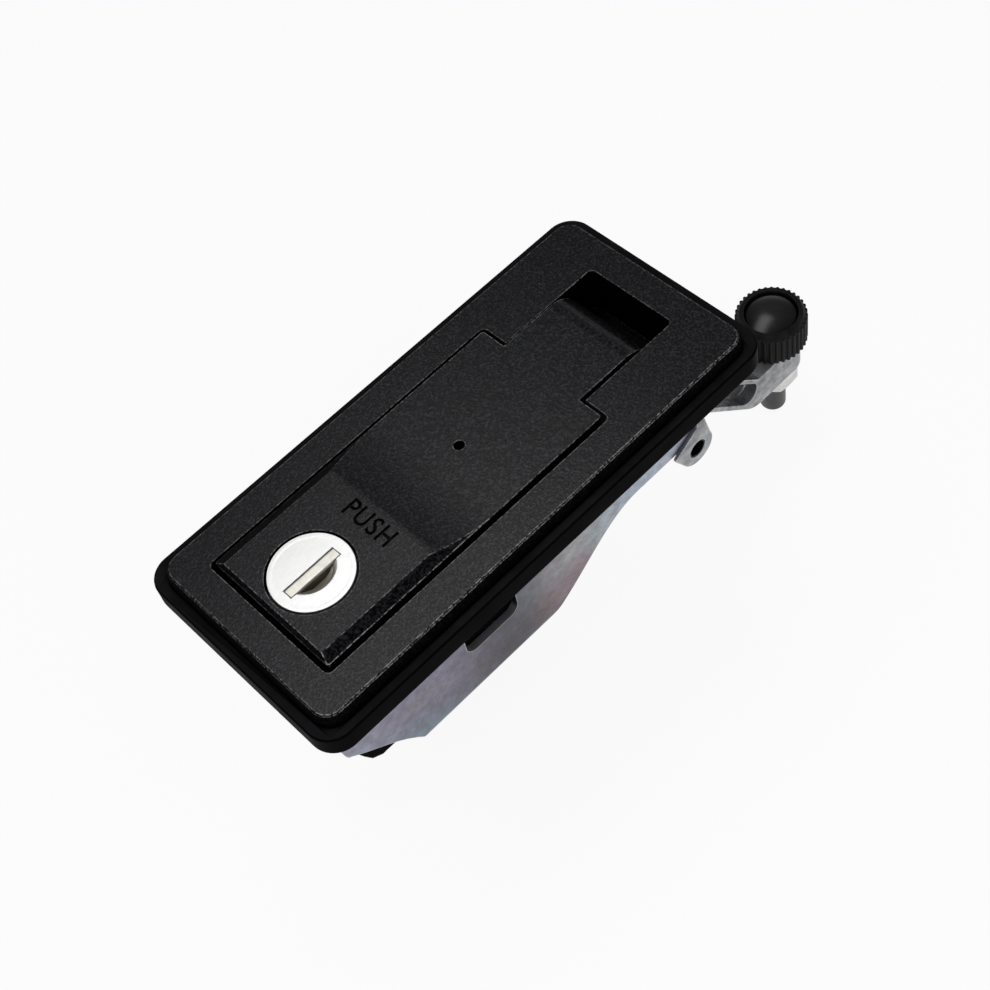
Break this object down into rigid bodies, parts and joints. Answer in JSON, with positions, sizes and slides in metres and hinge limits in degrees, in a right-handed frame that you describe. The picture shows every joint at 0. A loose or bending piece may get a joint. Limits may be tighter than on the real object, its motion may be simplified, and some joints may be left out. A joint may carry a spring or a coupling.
{
  "type": "pushbutton compression latch",
  "caption": "Flush door latch: a black pan with a rocking push lever and key lock, on a zinc bracket whose link swings a clamp arm with an adjustable knurled knob.",
  "frame": {"origin": "centre of the panel cut-out, on the panel face that the gasket lies on", "axes": "+X from the push end to the finger end and the clamp arm, +Z out of the panel, +Y across the pan"},
  "size_m": [0.1936, 0.0676, 0.1014],
  "materials": {
    "black_coat": "fine textured powder coat",
    "black_rubber": "smooth moulded",
    "zinc_sheet": "clear zinc passivate with a faint coloured sheen",
    "plain_steel": "plain",
    "zinc_casting": "satin zinc casting",
    "satin_nickel": "satin",
    "brass": "plain",
    "black_plastic": "matte moulded"
  },
  "bodies": {
    "frame": {"pan": "black_coat", "gasket": "black_rubber", "mounting_bracket": "zinc_sheet", "bracket_screws": "plain_steel", "ear_plates": "zinc_casting", "lever_pin": "plain_steel", "lever_spring": "plain_steel", "arm_pin": "plain_steel", "arm_spacers": "plain_steel"},
    "lever": {"lever": "black_coat", "lever_crank": "zinc_casting", "crank_screws": "plain_steel", "crank_pin": "plain_steel", "lock_barrel": "satin_nickel", "lock_nut": "satin_nickel"},
    "plug": {"lock_face": "satin_nickel", "lock_plug": "brass", "lock_cam": "plain_steel", "cam_screw": "plain_steel"},
    "shutter": {"dust_shutter": "satin_nickel"},
    "link": {"drive_link": "zinc_sheet"},
    "arm": {"arm": "zinc_casting", "arm_link_pin": "plain_steel", "jam_nut": "plain_steel"},
    "stud": {"adjuster_stud": "plain_steel"},
    "knob": {"knob": "black_plastic", "bumper_pad": "black_rubber"}
  },
  "joints": [
    {"name": "lever_lift", "type": "hinge", "parent": "frame", "child": "lever", "pos_m": [-0.019, 0, 0.0005], "axis": [0, -1, 0], "range_deg": [0, 60], "stiffness_Nm_per_rad": 0.05, "springref_deg": -80.21, "deforming": ["lever_spring"]},
    {"name": "arm_swing", "type": "hinge", "parent": "frame", "child": "arm", "pos_m": [0.0523, 0, -0.024], "axis": [0, 1, 0], "range_deg": [0, 60]},
    {"name": "link_swing", "type": "hinge", "parent": "lever", "child": "link", "pos_m": [-0.02425, 0, -0.00859], "axis": [0, -1, 0], "range_deg": [-60, 0]},
    {"name": "key_turn", "type": "hinge", "parent": "lever", "child": "plug", "pos_m": [-0.0458, 0, 0], "axis": [0, 0, -1], "range_deg": [0, 90]},
    {"name": "shutter_flap", "type": "hinge", "parent": "plug", "child": "shutter", "pos_m": [-0.0458, 0.00058, 0.0113], "axis": [1, 0, 0], "range_deg": [0, 65], "stiffness_Nm_per_rad": 0.0002, "springref_deg": -28.65},
    {"name": "adjuster_slide", "type": "slide", "parent": "arm", "child": "stud", "axis": [0, 0, 1], "range_m": [0, 0.008]},
    {"name": "knob_turn", "type": "hinge", "parent": "stud", "child": "knob", "pos_m": [0.1112, 0, -0.05], "axis": [0, 0, 1], "range_deg": [0, 2305]}
  ],
  "couplings": [
    {"joint": "arm_swing", "follows": "lever_lift", "ratio": 1},
    {"joint": "link_swing", "follows": "lever_lift", "ratio": -1},
    {"joint": "knob_turn", "follows": "adjuster_slide", "rad_per_m": 5026.5}
  ]
}
